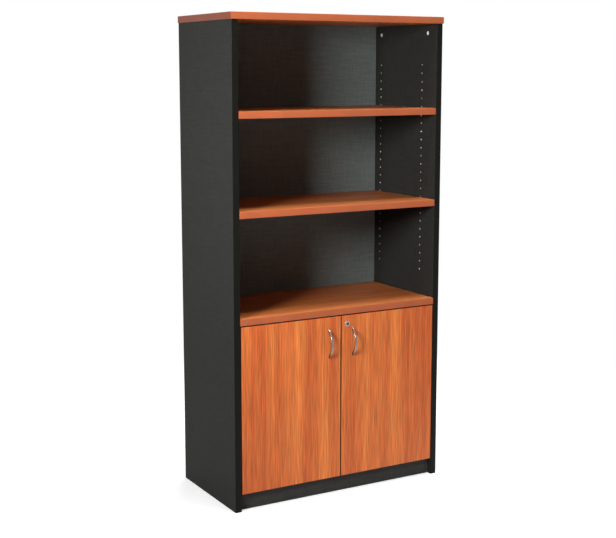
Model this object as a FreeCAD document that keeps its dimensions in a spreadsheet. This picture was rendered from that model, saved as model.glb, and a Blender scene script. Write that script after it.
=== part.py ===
import FreeCAD, Part
import math
import os
import Sketcher

# Half-door cupboard: an open bookcase over a two-door cupboard, built from melamine-faced boards.
# Millimetres, +Z up, the doors face -Y, and the origin is on the floor in the middle of the overall box.

V = FreeCAD.Vector
UP = V(0, 0, 1)

SIZES = [
    ("overall_height", 1800, "floor to the upper face of the top"),
    ("overall_width", 900, "across the top"),
    ("overall_depth", 450, "front to rear of the top"),
    ("board", 25, "carcass boards and shelves"),
    ("top_overhang", 3, "top past the sides and past their front edges"),
    ("edging", 2, "plastic edging on carcass boards and shelves"),
    ("edging_round", 1.4, "radius on the long corners of that edging"),
    ("kick_height", 62, "floor to the underside of the bottom board"),
    ("kick_setback", 22, "kickboard and bottom board behind the front plane"),
    ("kick_board", 18, "kickboard thickness"),
    ("back_board", 18, "back panel thickness"),
    ("back_inset", 4, "back panel in from the rear edges of the sides"),
    ("fixed_shelf_top", 718, "floor to the upper face of the fixed shelf"),
    ("shelf_play", 1, "adjustable shelf to each side"),
    ("shelf_rear_gap", 2, "adjustable shelf to the back panel"),
    ("inner_shelf_setback", 30, "cupboard shelf behind the front plane"),
    ("pin_first", 1620, "floor to the highest shelf-pin hole"),
    ("pin_pitch", 32, "spacing of the shelf-pin holes"),
    ("pin_rows", 26, "holes in a column of the open bays"),
    ("pin_radius", 2.5, "shelf-pin hole"),
    ("pin_depth", 12, "shelf-pin hole"),
    ("pin_front", 96, "front column behind the front plane"),
    ("pin_back", 384, "rear column behind the front plane"),
    ("pin_seat", 4, "hole centre to the underside of the shelf it carries"),
    ("upper_row", 6, "rows down from the highest hole to the upper shelf's"),
    ("middle_row", 17, "rows down to the middle shelf's"),
    ("inner_first", 436, "floor to the highest hole in the cupboard"),
    ("inner_rows", 3, "holes in a column of the cupboard"),
    ("inner_row", 1, "rows down to the cupboard shelf's"),
    ("cam_radius", 7.5, "bore for a cam fitting"),
    ("cam_depth", 13, "bore for a cam fitting"),
    ("cam_reach", 34, "cam centre to the face it pulls against"),
    ("cam_front", 62, "front cams behind the front plane"),
    ("cam_back", 384, "rear cams behind the front plane"),
    ("cam_low", 300, "floor to the lower cams of the back panel"),
    ("cam_high", 1400, "floor to the upper cams of the back panel"),
    ("bolt_radius", 4, "bore for a cam bolt"),
    ("door_board", 18, "door thickness"),
    ("door_edging", 1, "plastic edging round a door"),
    ("door_bottom", 65, "floor to the lower edge of the doors"),
    ("door_side_gap", 2, "door to the side panel"),
    ("door_centre_gap", 3, "between the doors"),
    ("door_top_gap", 3, "door to the fixed shelf"),
    ("cup_radius", 17.5, "hinge cup bore"),
    ("cup_depth", 11.5, "hinge cup bore"),
    ("cup_margin", 4, "door edge to the cup bore"),
    ("hinge_drop", 100, "door end to the middle of a hinge"),
    ("handle_pitch", 96, "between the screws of a handle"),
    ("handle_length", 112, "handle end to end"),
    ("handle_reach", 28, "handle out from the door"),
    ("handle_width", 10, "handle at its middle"),
    ("handle_drop", 104, "top of the door to the middle of the handle"),
    ("handle_inset", 50, "inner edge of the door to the handle"),
    ("handle_bore", 2.5, "radius of the handle screw holes"),
    ("lock_drop", 34, "top of the door to the lock"),
    ("lock_inset", 27, "inner edge of the door to the lock"),
    ("lock_bore", 9.2, "radius of the hole for the lock"),
]

PIN_SIDES = 6  # shelf-pin holes and pegs have flat sides, so that the rows of them stay light
SMALL_SIDES = 8  # the same for other drillings and the screws
CAM_SIDES = 12  # for the larger cams
CUP_SIDES = 20  # and for the hinge cups and the lock's bezel

doc = FreeCAD.newDocument("half_door_cupboard")
sheet = doc.addObject("Spreadsheet::Sheet", "Dims")
for row, (alias, value, meaning) in enumerate(SIZES, start=1):
    sheet.set(f"A{row}", meaning)
    sheet.set(f"B{row}", str(value))
    sheet.setAlias(f"B{row}", alias)
doc.recompute()

# Planes that several boards share, as expressions of the sheet.
REAR = "((Dims.overall_depth + Dims.handle_reach - Dims.top_overhang) / 2)"
FRONT = f"({REAR} - Dims.overall_depth + Dims.top_overhang)"
OUTER = "(Dims.overall_width / 2 - Dims.top_overhang)"
INNER = f"({OUTER} - Dims.board)"
BACK_FACE = f"({REAR} - Dims.back_inset - Dims.back_board)"
SIDE_TOP = "(Dims.overall_height - Dims.board)"
DOOR_WIDTH = f"({INNER} - Dims.door_side_gap - Dims.door_centre_gap / 2)"
DOOR_TOP = "(Dims.fixed_shelf_top - Dims.board - Dims.door_top_gap)"
DOOR_HEIGHT = f"({DOOR_TOP} - Dims.door_bottom)"
UPPER_Z = "(Dims.pin_first - Dims.upper_row * Dims.pin_pitch + Dims.pin_seat)"
MIDDLE_Z = "(Dims.pin_first - Dims.middle_row * Dims.pin_pitch + Dims.pin_seat)"
LOWER_Z = "(Dims.inner_first - Dims.inner_row * Dims.pin_pitch + Dims.pin_seat)"


def size(expression):
    """The value of an expression of the sheet's aliases, in millimetres or as a count."""
    return float(sheet.evalExpression(expression.replace("Dims.", "")))


def bind(item, prop, expressions):
    """Binds the x, y and z of a placement's base to expressions."""
    for axis, expression in zip("xyz", expressions):
        item.setExpression(f"{prop}.Base.{axis}", str(expression))


def origin_plane(body, role):
    return next(feature for feature in body.Origin.OriginFeatures if feature.Role == role)


def rectangle(sketch, name, width, depth, inset="0"):
    """Adds a rectangle to a sketch, its low corner inset along x and y, its sides bound."""
    first = sketch.GeometryCount
    start = size(inset)
    corners = [V(start + x, start + y, 0) for x, y in ((0, 0), (9, 0), (9, 9), (0, 9))]
    sides = [Part.LineSegment(corners[i], corners[(i + 1) % 4]) for i in range(4)]
    sketch.addGeometry(sides, False)
    for i, level in enumerate(("Horizontal", "Vertical", "Horizontal", "Vertical")):
        sketch.addConstraint(Sketcher.Constraint("Coincident", first + i, 2, first + (i + 1) % 4, 1))
        sketch.addConstraint(Sketcher.Constraint(level, first + i))
    lengths = [
        ("width", Sketcher.Constraint("DistanceX", first, 1, first, 2, size(width)), width),
        ("depth", Sketcher.Constraint("DistanceY", first + 1, 1, first + 1, 2, size(depth)), depth),
    ]
    if inset == "0":
        sketch.addConstraint(Sketcher.Constraint("Coincident", first, 1, -1, 1))
    else:
        lengths.append(("in_x", Sketcher.Constraint("DistanceX", -1, 1, first, 1, start), inset))
        lengths.append(("in_y", Sketcher.Constraint("DistanceY", -1, 1, first, 1, start), inset))
    for part, constraint, expression in lengths:
        index = sketch.addConstraint(constraint)
        sketch.renameConstraint(index, f"{name}_{part}")
        sketch.setExpression(f"Constraints.{name}_{part}", expression)


def board(label, sides, place, hollow=None):
    """A board: a rectangle sides[0] by sides[1], padded up by sides[2], its low corner at place.

    With hollow, the width and depth of a rectangle inset by the first expression of hollow
    are left out, which makes the board a ring.
    """
    body = doc.addObject("PartDesign::Body", label)
    sketch = body.newObject("Sketcher::SketchObject", f"{label}_outline")
    sketch.AttachmentSupport = [(origin_plane(body, "XY_Plane"), "")]
    sketch.MapMode = "FlatFace"
    rectangle(sketch, "outer", sides[0], sides[1])
    if hollow:
        rectangle(sketch, "inner", hollow[1], hollow[2], hollow[0])
    pad = body.newObject("PartDesign::Pad", f"{label}_pad")
    pad.Profile = sketch
    pad.setExpression("Length", sides[2])
    bind(body, "Placement", place)
    return body


def soften(body, radius, choose):
    """Rounds the edges of a body that choose accepts, given each edge's middle and direction."""
    doc.recompute()
    base = body.Tip
    names = []
    for i, edge in enumerate(base.Shape.Edges, start=1):
        first, last = edge.Vertexes[0].Point, edge.Vertexes[-1].Point
        if choose((first + last) / 2, (last - first).normalize()):
            names.append(f"Edge{i}")
    fillet = body.newObject("PartDesign::Fillet", f"{body.Label}_round_{len(body.Group)}")
    fillet.Base = (base, names)
    fillet.setExpression("Radius", radius)


def edging_strip(label, sides, place):
    """A strip of plastic edging on a board's front edge, its two long front corners rounded."""
    body = board(label, sides, place)
    lengths = [size(side) for side in sides]
    longest = V(*[1 if length == max(lengths) else 0 for length in lengths])
    soften(body, "Dims.edging_round", lambda middle, way: middle.y < 1e-6 and abs(way.dot(longest)) > 0.9)
    return body


def drill(body, label, role, at, radius, depth, sides=SMALL_SIDES):
    """A blind hole with its mouth or floor on an origin plane shifted by at, in the plane's axes."""
    hole = body.newObject("PartDesign::SubtractivePrism", label)
    hole.Polygon = sides
    hole.setExpression("Circumradius", radius)
    hole.setExpression("Height", depth)
    hole.AttachmentSupport = [(origin_plane(body, role), "")]
    hole.MapMode = "FlatFace"
    bind(hole, "AttachmentOffset", at)
    return hole


def repeat_down(body, hole, count):
    """Repeats a hole downwards at the pin pitch."""
    rows = body.newObject("PartDesign::LinearPattern", f"{hole.Label}_rows")
    rows.Originals = [hole]
    rows.Direction = (origin_plane(body, "Z_Axis"), [""])
    rows.Reversed = True
    rows.Mode = "Spacing"
    rows.setExpression("Offset", "Dims.pin_pitch")
    rows.setExpression("Occurrences", count)
    body.Tip = rows


def solids(label, shapes):
    """One node made of several separate solids, such as a set of like fasteners."""
    item = doc.addObject("Part::Feature", label)
    item.Shape = Part.makeCompound(shapes) if len(shapes) > 1 else shapes[0]
    return item


def moved(shape, at, way=UP):
    """A copy of a shape drawn along +Z from the origin, turned to point along way and put at a place."""
    copy = shape.copy()
    copy.Placement = FreeCAD.Placement(at, FreeCAD.Rotation(UP, way))
    return copy


def slab(points, low, high):
    """A prism with a straight-sided outline in plan."""
    wire = Part.makePolygon([V(x, y, low) for x, y in [*points, points[0]]])
    return Part.Face(wire).extrude(V(0, 0, high - low))


def rod(radius, length, start=0.0, sides=SMALL_SIDES):
    """A turned rod along +Z, drawn with flat sides."""
    turn = 2 * math.pi / sides
    ring = [(radius * math.cos(turn * i), radius * math.sin(turn * i)) for i in range(sides)]
    return slab(ring, start, start + length)


# ---- top ----


def make_top():
    """The top board and the edging round its four sides."""
    width = "Dims.overall_width - 2 * Dims.edging"
    depth = "Dims.overall_depth - 2 * Dims.edging"
    left = "-Dims.overall_width / 2"
    front = f"{REAR} - Dims.overall_depth"
    inner_place = (f"{left} + Dims.edging", f"{front} + Dims.edging", SIDE_TOP)
    board("top_panel", (width, depth, "Dims.board"), inner_place)
    ring = board(
        "top_edging",
        ("Dims.overall_width", "Dims.overall_depth", "Dims.board"),
        (left, front, SIDE_TOP),
        hollow=("Dims.edging", width, depth),
    )
    wide, deep = size("Dims.overall_width"), size("Dims.overall_depth")
    near = size("Dims.edging") / 2

    def outside(middle):
        return min(middle.x, middle.y, wide - middle.x, deep - middle.y) < near

    soften(ring, "Dims.edging_round", lambda middle, way: abs(way.z) < 0.1 and outside(middle))


# ---- sides ----


def make_side(hand):
    """A side panel: pin columns, cam bores and bolt bores in its inner face; hand is -1 left, 1 right."""
    name = "left" if hand < 0 else "right"
    outer = f"-{OUTER}" if hand < 0 else INNER
    depth = "Dims.overall_depth - Dims.top_overhang - Dims.edging"
    body = board(f"{name}_side_panel", ("Dims.board", depth, SIDE_TOP), (outer, f"{FRONT} + Dims.edging", "0"))
    edging_strip(f"{name}_side_edging", ("Dims.board", "Dims.edging", SIDE_TOP), (outer, FRONT, "0"))

    def from_inner(deep):
        return f"Dims.board - {deep}" if hand < 0 else "0"

    for column in ("pin_front", "pin_back"):
        across = f"Dims.{column} - Dims.edging"
        for label, first, count in (("bay", "pin_first", "pin_rows"), ("inner", "inner_first", "inner_rows")):
            at = (across, f"Dims.{first}", from_inner("Dims.pin_depth"))
            hole = drill(
                body, f"{name}_{label}_{column}", "YZ_Plane", at, "Dims.pin_radius", "Dims.pin_depth", PIN_SIDES
            )
            repeat_down(body, hole, f"Dims.{count}")
    for line in ("cam_front", "cam_back"):
        across = f"Dims.{line} - Dims.edging"
        seat = f"{SIDE_TOP} - Dims.cam_reach"
        drill(
            body,
            f"{name}_{line}",
            "YZ_Plane",
            (across, seat, from_inner("Dims.cam_depth")),
            "Dims.cam_radius",
            "Dims.cam_depth",
            CAM_SIDES,
        )
        drill(
            body,
            f"{name}_{line}_bolt",
            "XY_Plane",
            ("Dims.board / 2", across, seat),
            "Dims.bolt_radius",
            "Dims.cam_reach",
        )


# ---- boards between the sides ----


def drill_cams(body, name, width, centres, face):
    """Cam bores in a board's underside or rear face, 34 mm in from both ends, and their bolt bores."""
    for i, centre in enumerate(centres):
        for end, x, start in (
            ("left", "Dims.cam_reach", "0"),
            ("right", f"{width} - Dims.cam_reach", f"{width} - Dims.cam_reach"),
        ):
            if face == "under":
                cam_at, role = (x, centre, "0"), "XY_Plane"
                bolt_at = (centre, "Dims.board / 2", start)
            else:
                cam_at, role = (x, centre, "-Dims.back_board"), "XZ_Plane"
                bolt_at = ("Dims.back_board / 2", centre, start)
            label = f"{name}_{end}_{i}"
            drill(body, f"{label}_cam", role, cam_at, "Dims.cam_radius", "Dims.cam_depth", CAM_SIDES)
            drill(body, f"{label}_bolt", "YZ_Plane", bolt_at, "Dims.bolt_radius", "Dims.cam_reach")


def make_fixed_boards():
    """The fixed shelf over the doors, the bottom board, the kickboard and the back panel."""
    width = f"2 * {INNER}"
    for name, setback, low in (
        ("fixed_shelf", "0", "Dims.fixed_shelf_top - Dims.board"),
        ("bottom", "Dims.kick_setback", "Dims.kick_height"),
    ):
        front = f"({FRONT} + {setback})"
        depth = f"{BACK_FACE} - {front} - Dims.edging"
        label = name if name == "fixed_shelf" else f"{name}_panel"
        body = board(label, (width, depth, "Dims.board"), (f"-{INNER}", f"{front} + Dims.edging", low))
        centres = [f"Dims.{line} - {setback} - Dims.edging" for line in ("cam_front", "cam_back")]
        drill_cams(body, name, width, centres, "under")
        edging_strip(f"{name}_edging", (width, "Dims.edging", "Dims.board"), (f"-{INNER}", front, low))
    board(
        "kickboard",
        (width, "Dims.kick_board", "Dims.kick_height"),
        (f"-{INNER}", f"{FRONT} + Dims.kick_setback", "0"),
    )
    back = board("back_panel", (width, "Dims.back_board", SIDE_TOP), (f"-{INNER}", BACK_FACE, "0"))
    drill_cams(back, "back", width, ["Dims.cam_low", "Dims.cam_high"], "rear")


def make_loose_shelf(name, setback, low):
    """A shelf that rests on four pins, and the edging on its front."""
    width = f"2 * ({INNER} - Dims.shelf_play)"
    front = f"({FRONT} + {setback})"
    depth = f"{BACK_FACE} - Dims.shelf_rear_gap - {front} - Dims.edging"
    left = f"-{INNER} + Dims.shelf_play"
    board(name, (width, depth, "Dims.board"), (left, f"{front} + Dims.edging", low))
    edging_strip(f"{name}_edging", (width, "Dims.edging", "Dims.board"), (left, front, low))


# ---- fittings of the carcass ----

PEG_PLAY = 0.1  # a peg's flats inside its hole


def shelf_support():
    """A plug-in shelf support along +Z: a peg, and a spade whose flat top carries the shelf on +X."""
    seat, deep = size("Dims.pin_seat"), size("Dims.pin_depth")
    peg = rod(size("Dims.pin_radius") - PEG_PLAY, deep - 2, 2 - deep, PIN_SIDES)
    peg.rotate(V(), UP, 90)  # so that its flats match the hole's
    spade_width, plate, tongue = 8.0, 1.6, 10.0
    upright = Part.makeBox(14, spade_width, plate, V(seat - 14, -spade_width / 2, 0))
    ledge = Part.makeBox(plate, spade_width, tongue, V(seat - plate, -spade_width / 2, 0))
    web = Part.Face(
        Part.makePolygon([V(seat - 1, 0, 1), V(seat - 1, 0, tongue - 1), V(seat - 9, 0, 1), V(seat - 1, 0, 1)])
    ).extrude(V(0, plate, 0))
    web.translate(V(0, -plate / 2, 0))
    return peg.fuse([upright, ledge, web]).removeSplitter()


def make_supports():
    """Four supports under each loose shelf, in the rows that set the shelves' heights."""
    support = shelf_support()
    front, inner = size(FRONT), size(INNER)
    placed = []
    for hand in (-1, 1):
        # the support's X axis is turned up, and its Z axis away from the side
        turn = FreeCAD.Rotation(V(0, 0, 1), V(0, hand, 0), V(-hand, 0, 0))
        for low in (UPPER_Z, MIDDLE_Z, LOWER_Z):
            for column in ("Dims.pin_front", "Dims.pin_back"):
                copy = support.copy()
                at = V(hand * inner, front + size(column), size(low) - size("Dims.pin_seat"))
                copy.Placement = FreeCAD.Placement(at, turn)
                placed.append(copy)
    solids("shelf_supports", placed)


def cam_seats():
    """Every cam joint as its place on the board's face, the face's outward way and the bolt's way."""
    front, inner = size(FRONT), size(INNER)
    reach, board_ = size("Dims.cam_reach"), size("Dims.board")
    lines = [front + size(f"Dims.{line}") for line in ("cam_front", "cam_back")]
    seats = []
    for hand in (-1, 1):
        side = V(hand, 0, 0)
        for y in lines:
            seats.append((V(hand * inner, y, size(SIDE_TOP) - reach), -side, UP, board_ / 2))
            for low in ("Dims.fixed_shelf_top - Dims.board", "Dims.kick_height"):
                seats.append((V(hand * (inner - reach), y, size(low)), -UP, side, board_ / 2))
        rear = size(BACK_FACE) + size("Dims.back_board")
        for level in ("Dims.cam_low", "Dims.cam_high"):
            at = V(hand * (inner - reach), rear, size(level))
            seats.append((at, V(0, 1, 0), side, size("Dims.back_board") / 2))
    return seats


def make_cams():
    """The cams, each a slotted disc, and the bolts that they pull, screwed 11 mm into the next board."""
    radius, deep = size("Dims.cam_radius"), size("Dims.cam_depth")
    slot = Part.makeBox(9, 1.8, 3, V(-4.5, -0.9, -1.8))
    disc = rod(radius - 0.2, deep - 1, 0.4 - deep, CAM_SIDES).cut(slot)
    into = 11
    length = size("Dims.cam_reach") - radius + into
    bolt = rod(size("Dims.bolt_radius") - 0.6, length, radius)
    seats = cam_seats()
    solids("cam_locks", [moved(disc, at, out) for at, out, _, _ in seats])
    solids("cam_bolts", [moved(bolt, at - out * depth, way) for at, out, way, depth in seats])


def make_dowels():
    """Two glued beech dowels at each end of the top, the fixed shelf and the bottom board."""
    dowel = rod(4, 30, -15)
    front, inner, board_ = size(FRONT), size(INNER), size("Dims.board")
    placed = []
    for y in (front + 140, front + 300):
        for hand in (-1, 1):
            placed.append(moved(dowel, V(hand * (inner + board_ / 2), y, size(SIDE_TOP))))
            for low in ("Dims.fixed_shelf_top - Dims.board", "Dims.kick_height"):
                placed.append(moved(dowel, V(hand * inner, y, size(low) + board_ / 2), V(1, 0, 0)))
    solids("locating_dowels", placed)


# ---- hinges ----
# Drawn for a left door in plan: x from the door's hinge edge, y back from the front plane, z from the
# middle of the hinge. The right door's are mirror images.

ARM_PIVOT = (33.5, 14.2)  # the link's pin in the arm's nose
LINK_REACH = 19.3  # pin to the link's far end
LINK_START = math.radians(177)  # the closed link's direction
LINK_BOW = 4.8  # how far the link's middle bows towards the cup's floor
LINK_HALF = 4.7  # half the link's width along the door's height
CHEEK_INNER, CHEEK_OUTER = 4.9, 5.9
SCREW_PITCH = 32.0  # mounting plate screws
WING_PITCH = 48.0  # cup screws
PLATE_SCREW_BACK = 55.0  # plate screws behind the front plane


def cup_shape():
    """A pressed cup with a rim and two screw wings on the door's rear face."""
    radius, deep = size("Dims.cup_radius"), size("Dims.cup_depth")
    rear = size("Dims.door_board")
    centre = size("Dims.cup_margin") + radius
    back = V(0, 1, 0)
    rim = 1.2
    wings = Part.makeBox(12, rim, WING_PITCH + 14, V(centre, rear, -WING_PITCH / 2 - 7))
    mouth = V(centre, rear, 0)
    flange = moved(rod(radius + 1, rim, 0, CUP_SIDES), mouth, back).fuse(wings)
    shell = moved(rod(radius - 0.05, deep - 0.2, 0.2 - deep, CUP_SIDES), mouth, back)
    cup = shell.fuse(flange).cut(moved(rod(radius - 0.8, deep + rim, 1.2 - deep, CUP_SIDES), mouth, back))
    for z in (-WING_PITCH / 2, WING_PITCH / 2):
        cup = cup.cut(moved(rod(2.2, 3 * rim, -rim), V(centre + 6, rear, z), back))
    return cup.removeSplitter()


def arm_shape():
    """The cranked arm: a pressed channel that reaches from the plate into the cup, with its rivet."""
    x, y = ARM_PIVOT
    nose = 2.6
    outline = [
        (x + nose, y),
        (x + nose, 24.5),
        (29.0, 34.0),
        (14.0, 39.5),
        (10.0, 46.0),
        (10.0, 95.0),
        (3.0, 95.0),
        (3.0, 42.0),
        (9.5, 33.5),
        (24.0, 28.5),
        (x - nose, 21.5),
        (x - nose, y),
    ]
    tip = rod(nose, 2 * CHEEK_OUTER, -CHEEK_OUTER)
    tip.translate(V(x, y, 0))
    solid = slab(outline, -CHEEK_OUTER, CHEEK_OUTER).fuse(tip)
    wall = (-1.5, -1.1)
    hollow = slab([(px + wall[0], py + wall[1]) for px, py in outline], -CHEEK_INNER, CHEEK_INNER)
    throat = rod(nose + 0.7, 2 * CHEEK_INNER, -CHEEK_INNER)
    throat.translate(V(x, y, 0))
    open_end = Part.makeBox(2 * nose + 1, 5, 2 * CHEEK_INNER, V(x - nose - 1, y - 4, -CHEEK_INNER))
    rivet = rod(1.5, 2 * CHEEK_OUTER, -CHEEK_OUTER)
    rivet.translate(V(x, y, 0))
    return solid.cut([hollow, throat, open_end]).fuse(rivet).removeSplitter()


def link_shape():
    """The link that swings on the arm's rivet, bowed in four flat lengths, with its far end in the cup."""
    half = 1.2
    start = V(*ARM_PIVOT, -LINK_HALF)
    along = V(math.cos(LINK_START), math.sin(LINK_START), 0)
    side = V(-along.y, along.x, 0)
    line = [start, start + along * (LINK_REACH / 2) + side * LINK_BOW, start + along * LINK_REACH]
    circle = Part.Circle(*line)
    points = Part.Arc(*line).toShape().discretize(5)
    inside, outside = [
        [circle.Center + (point - circle.Center) * (1 + offset / circle.Radius) for point in points]
        for offset in (-half, half)
    ]
    outline = Part.makePolygon([*inside, *reversed(outside), inside[0]])
    strap = Part.Face(outline).extrude(V(0, 0, 2 * LINK_HALF))
    eye = rod(2.7, 2 * LINK_HALF)
    eye.translate(start)
    lip = rod(half, 2 * LINK_HALF)
    lip.translate(start + along * LINK_REACH)
    hole = rod(1.75, 2 * LINK_HALF + 2, -1)
    hole.translate(start)
    return strap.fuse([eye, lip]).cut(hole).removeSplitter()


def plate_shape():
    """The mounting plate on the side panel: a block under the arm and two screw wings."""
    wall = -size("Dims.door_side_gap")
    spine = Part.makeBox(3.0 - wall, 55, 2 * CHEEK_OUTER, V(wall, 43, -CHEEK_OUTER))
    wings = Part.makeBox(2.5, 13, SCREW_PITCH + 12, V(wall, PLATE_SCREW_BACK - 6.5, -SCREW_PITCH / 2 - 6))
    plate = spine.fuse(wings)
    for z in (-SCREW_PITCH / 2, SCREW_PITCH / 2):
        plate = plate.cut(moved(rod(2.2, 6, -1), V(wall, PLATE_SCREW_BACK, z), V(1, 0, 0)))
    return plate.removeSplitter()


def screw(head_radius, head, shank_radius, shank):
    """A wood screw along +Z: its head above z = 0 and its shank below."""
    return rod(head_radius, head).fuse(rod(shank_radius, shank, -shank)).removeSplitter()


def hinge_places(hand):
    """Puts a shape drawn at one hinge on both hinges of a door."""
    edge = size(INNER) - size("Dims.door_side_gap")
    levels = [size("Dims.door_bottom + Dims.hinge_drop"), size(f"{DOOR_TOP} - Dims.hinge_drop")]

    def place(shape):
        placed = []
        for z in levels:
            copy = shape.copy()
            copy.translate(V(-edge, size(FRONT), z))
            placed.append(copy.mirror(V(0, 0, 0), V(1, 0, 0)) if hand > 0 else copy)
        return placed

    return place


def make_hinges():
    """Both doors' hinges: plates and arms on the sides, links, and cups with their screws on the doors."""
    cup, arm, link, plate = cup_shape(), arm_shape(), link_shape(), plate_shape()
    wall = -size("Dims.door_side_gap")
    centre = size("Dims.cup_margin + Dims.cup_radius")
    plate_screw = screw(3.6, 2.0, 1.7, 15.5)
    cup_screw = screw(3.6, 1.6, 1.7, 12.0)
    fixed = {"hinge_plates": [], "hinge_arms": [], "hinge_plate_screws": []}
    for hand, name in ((-1, "left"), (1, "right")):
        place = hinge_places(hand)
        fixed["hinge_plates"] += place(plate)
        fixed["hinge_arms"] += place(arm)
        cup_screws = []
        for end in (-1, 1):
            at = V(wall + 2.5, PLATE_SCREW_BACK, end * SCREW_PITCH / 2)
            fixed["hinge_plate_screws"] += place(moved(plate_screw, at, V(1, 0, 0)))
            at = V(centre + 6, size("Dims.door_board") + 1.2, end * WING_PITCH / 2)
            cup_screws += place(moved(cup_screw, at, V(0, 1, 0)))
        solids(f"{name}_hinge_cups", place(cup))
        solids(f"{name}_cup_screws", cup_screws)
        solids(f"{name}_hinge_links", place(link))
    for label, shapes in fixed.items():
        solids(label, shapes)


# ---- doors ----


def handle_shape():
    """A bow handle: a crescent in side view, widest at its middle in front view, its edges eased."""
    half_pitch = size("Dims.handle_pitch") / 2
    end = size("Dims.handle_length") / 2
    foot = 2 * half_pitch - end
    reach, thick = size("Dims.handle_reach"), 5.0
    wide, narrow = size("Dims.handle_width") / 2, 3.0

    def arc(first, middle, last):
        return Part.Arc(V(*first), V(*middle), V(*last)).toShape()

    bow = [
        arc((0, 0, -end), (0, -reach, 0), (0, 0, end)),
        Part.makeLine(V(0, 0, end), V(0, 0, foot)),
        arc((0, 0, foot), (0, thick - reach, 0), (0, 0, -foot)),
        Part.makeLine(V(0, 0, -foot), V(0, 0, -end)),
    ]
    side = Part.Face(Part.Wire(bow)).extrude(V(2 * wide, 0, 0))
    side.translate(V(-wide, 0, 0))
    lens = [
        arc((-narrow, 1, -end), (-wide, 1, 0), (-narrow, 1, end)),
        Part.makeLine(V(-narrow, 1, end), V(narrow, 1, end)),
        arc((narrow, 1, end), (wide, 1, 0), (narrow, 1, -end)),
        Part.makeLine(V(narrow, 1, -end), V(-narrow, 1, -end)),
    ]
    front = Part.Face(Part.Wire(lens)).extrude(V(0, -reach - 2, 0))
    handle = side.common(front).Solids[0]
    # the extrusion touches the lens at its widest, which splits each long edge into two halves
    outer_halves = [edge for edge in handle.Edges if 1.1 * end < edge.Length < 1.3 * end]
    return handle.makeChamfer(1.4, outer_halves)


def make_door(hand):
    """A door with its edging, cup bores, handle and handle screws; hand is -1 left, 1 right."""
    name = "left" if hand < 0 else "right"
    left = f"-{INNER} + Dims.door_side_gap" if hand < 0 else "Dims.door_centre_gap / 2"
    width = f"{DOOR_WIDTH} - 2 * Dims.door_edging"
    height = f"{DOOR_HEIGHT} - 2 * Dims.door_edging"
    place = (f"{left} + Dims.door_edging", FRONT, "Dims.door_bottom + Dims.door_edging")
    body = board(f"{name}_door_panel", (width, "Dims.door_board", height), place)
    rear = "-Dims.door_board"

    def across(margin):
        """A distance from the hinge edge of the whole door, in the panel's own x."""
        if hand < 0:
            return f"{margin} - Dims.door_edging"
        return f"{DOOR_WIDTH} - ({margin}) - Dims.door_edging"

    for end, level in (
        ("low", "Dims.hinge_drop - Dims.door_edging"),
        ("high", f"{DOOR_HEIGHT} - Dims.hinge_drop - Dims.door_edging"),
    ):
        at = (across("Dims.cup_margin + Dims.cup_radius"), level, rear)
        drill(body, f"{name}_cup_bore_{end}", "XZ_Plane", at, "Dims.cup_radius", "Dims.cup_depth", CUP_SIDES)
    middle = f"{DOOR_HEIGHT} - Dims.handle_drop - Dims.door_edging"
    grip = across(f"{DOOR_WIDTH} - Dims.handle_inset")
    for i, sign in enumerate("+-"):
        at = (grip, f"{middle} {sign} Dims.handle_pitch / 2", rear)
        drill(body, f"{name}_handle_hole_{i}", "XZ_Plane", at, "Dims.handle_bore", "Dims.door_board")
    if hand > 0:
        at = (
            across(f"{DOOR_WIDTH} - Dims.lock_inset"),
            f"{DOOR_HEIGHT} - Dims.lock_drop - Dims.door_edging",
            rear,
        )
        drill(body, "lock_bore", "XZ_Plane", at, "Dims.lock_bore", "Dims.door_board", CAM_SIDES)
    make_door_edging(name, left, width, height)
    make_handle(name, hand)


def make_door_edging(name, left, width, height):
    """The edging round a door: a ring drawn flat, as wide as the door is thick, then stood up."""
    ring = board(
        f"{name}_door_edging",
        (DOOR_WIDTH, DOOR_HEIGHT, "Dims.door_board"),
        (left, f"{FRONT} + Dims.door_board", "Dims.door_bottom"),
        hollow=("Dims.door_edging", width, height),
    )
    ring.Placement.Rotation = FreeCAD.Rotation(V(1, 0, 0), 90)


def make_handle(name, hand):
    """A door's handle and the two screws that hold it from behind."""
    x = hand * size("Dims.door_centre_gap / 2 + Dims.handle_inset")
    z = size(f"{DOOR_TOP} - Dims.handle_drop")
    handle = handle_shape()
    handle.translate(V(x, size(FRONT), z))
    solids(f"{name}_handle", [handle])
    rear = size(FRONT) + size("Dims.door_board")
    machine_screw = screw(4.0, 2.4, 2.0, size("Dims.door_board") + 6)
    half = size("Dims.handle_pitch") / 2
    screws = [moved(machine_screw, V(x, rear, z + end), V(0, 1, 0)) for end in (-half, half)]
    solids(f"{name}_handle_screws", screws)


# ---- lock ----


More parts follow.
